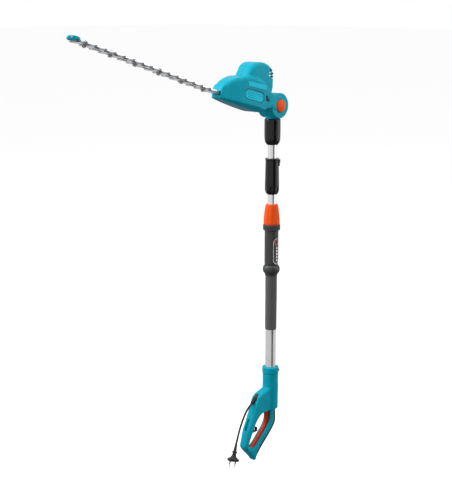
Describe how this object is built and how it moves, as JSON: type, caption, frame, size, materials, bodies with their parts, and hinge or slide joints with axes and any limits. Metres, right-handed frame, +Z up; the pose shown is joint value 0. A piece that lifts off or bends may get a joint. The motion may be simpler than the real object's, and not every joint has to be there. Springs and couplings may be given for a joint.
{
  "type": "pole hedge trimmer",
  "caption": "Corded hedge trimmer on a telescopic pole, with a tilting toothed-blade head, twist clamp, foam grip and D-shaped rear handle with a long trigger.",
  "frame": {"origin": "centre of the foam grip, on the pole's axis", "axes": "+Z up the pole from the rear handle to the cutting head, -X towards the blade's tip, -Y the side with the tilt joint's release button"},
  "size_m": [0.7461, 0.0744, 1.2153],
  "materials": {
    "teal_plastic": "satin moulded nylon",
    "orange_plastic": "satin",
    "trigger_orange": "satin",
    "black_plastic": "fine texture",
    "gloss_black": "glossy",
    "grip_grey": "satin",
    "foam": "closed-cell foam",
    "soft_pad": "soft touch",
    "cord_rubber": "smooth rubber",
    "tube_aluminium": "drawn and anodised",
    "bar_aluminium": "milled",
    "blade_steel": "ground and nickel plated",
    "zinc_steel": "zinc plated",
    "gear_steel": "machined",
    "spring_steel": "drawn",
    "die_cast": "die-cast",
    "laminated_steel": "laminated",
    "bronze": "sintered",
    "carbon": "pressed carbon",
    "felt": "felt",
    "capacitor_yellow": "gloss",
    "label": "printed film"
  },
  "bodies": {
    "handle": {"outer_tube": "tube_aluminium", "foam_grip": "foam", "front_grip": "grip_grey", "grip_label": "label", "clamp_base": "grip_grey", "clamp_collet": "black_plastic", "handle_shell_left": "teal_plastic", "handle_shell_right": "teal_plastic", "handle_screws": "zinc_steel", "tube_screw": "black_plastic", "trigger_pin": "gear_steel", "trigger_spring": "spring_steel", "switch_case": "black_plastic", "capacitor": "capacitor_yellow", "grip_pad": "soft_pad", "cable_hook": "black_plastic", "cord_gland": "cord_rubber", "mains_cord": "cord_rubber", "mains_plug": "cord_rubber", "coiled_lead": "cord_rubber"},
    "extension": {"inner_tube": "tube_aluminium", "guide_bush": "black_plastic", "coupling_sleeve": "gloss_black", "coupling_socket": "black_plastic", "coupling_plug": "black_plastic", "head_tube": "tube_aluminium", "adaptor_sleeve": "gloss_black", "tilt_hub": "teal_plastic", "detent_ring": "gear_steel"},
    "head": {"head_shell_left": "teal_plastic", "head_shell_right": "teal_plastic", "head_screws": "zinc_steel", "guide_bar": "bar_aluminium", "blade_bolts": "zinc_steel", "blade_tip_guard": "teal_plastic", "blade_wiper": "felt", "gearbox_plate": "die_cast", "motor_plate": "die_cast", "gear_bushes": "bronze", "motor_stator": "laminated_steel", "motor_bearings": "zinc_steel", "brush_holders": "bronze", "carbon_brushes": "carbon", "motor_lead": "cord_rubber", "tilt_pin": "gear_steel", "tilt_cap": "black_plastic", "tilt_button_spring": "spring_steel"},
    "upper_blade": {"blade_upper": "blade_steel"},
    "lower_blade": {"blade_lower": "blade_steel"},
    "crank": {"drive_gear": "gear_steel", "gear_shaft": "gear_steel"},
    "rotor": {"armature": "laminated_steel", "motor_pinion": "gear_steel", "motor_fan": "black_plastic"},
    "button": {"tilt_button": "orange_plastic"},
    "clamp": {"clamp_cap": "orange_plastic"},
    "catch": {"coupling_catch": "black_plastic"},
    "trigger": {"trigger_lever": "trigger_orange"},
    "plunger": {"switch_plunger": "orange_plastic"},
    "lock": {"lock_button": "black_plastic"}
  },
  "joints": [
    {"name": "telescope", "type": "slide", "parent": "handle", "child": "extension", "axis": [0, 0, 1], "range_m": [0, 0.34]},
    {"name": "clamp_twist", "type": "hinge", "parent": "handle", "child": "clamp", "pos_m": [0, 0, 0.25], "axis": [0, 0, 1], "range_deg": [0, 60]},
    {"name": "head_tilt", "type": "hinge", "parent": "extension", "child": "head", "pos_m": [0, 0, 0.556], "axis": [0, 1, 0], "range_deg": [-45, 60]},
    {"name": "upper_blade_slide", "type": "slide", "parent": "head", "child": "upper_blade", "axis": [-0.9537, 0, 0.3007], "range_m": [-0.0075, 0.0075]},
    {"name": "lower_blade_slide", "type": "slide", "parent": "head", "child": "lower_blade", "axis": [-0.9537, 0, 0.3007], "range_m": [-0.0075, 0.0075]},
    {"name": "crank_spin", "type": "hinge", "parent": "head", "child": "crank", "pos_m": [-0.12494, 0, 0.59539], "axis": [0.3007, 0, 0.9537], "continuous": true},
    {"name": "rotor_spin", "type": "hinge", "parent": "head", "child": "rotor", "pos_m": [-0.09096, 0, 0.58468], "axis": [0.3007, 0, 0.9537], "continuous": true},
    {"name": "tilt_release", "type": "slide", "parent": "head", "child": "button", "axis": [0, 1, 0], "range_m": [0, 0.003], "stiffness_N_per_m": 900},
    {"name": "coupling_release", "type": "slide", "parent": "extension", "child": "catch", "axis": [-0.6428, 0.766, 0], "range_m": [0, 0.002], "stiffness_N_per_m": 800},
    {"name": "trigger_squeeze", "type": "hinge", "parent": "handle", "child": "trigger", "pos_m": [-0.08, 0, -0.424], "axis": [0, 1, 0], "range_deg": [0, 3], "stiffness_Nm_per_rad": 12, "springref_deg": -1.72},
    {"name": "switch_travel", "type": "slide", "parent": "handle", "child": "plunger", "axis": [1, 0, 0], "range_m": [0, 0.0052]},
    {"name": "lock_off", "type": "slide", "parent": "handle", "child": "lock", "axis": [0, -1, 0], "range_m": [0, 0.003], "stiffness_N_per_m": 500}
  ],
  "couplings": [
    {"joint": "lower_blade_slide", "follows": "upper_blade_slide", "ratio": -1},
    {"joint": "rotor_spin", "follows": "crank_spin", "ratio": -5.3333},
    {"joint": "switch_travel", "follows": "trigger_squeeze", "m_per_rad": 0.0955}
  ]
}
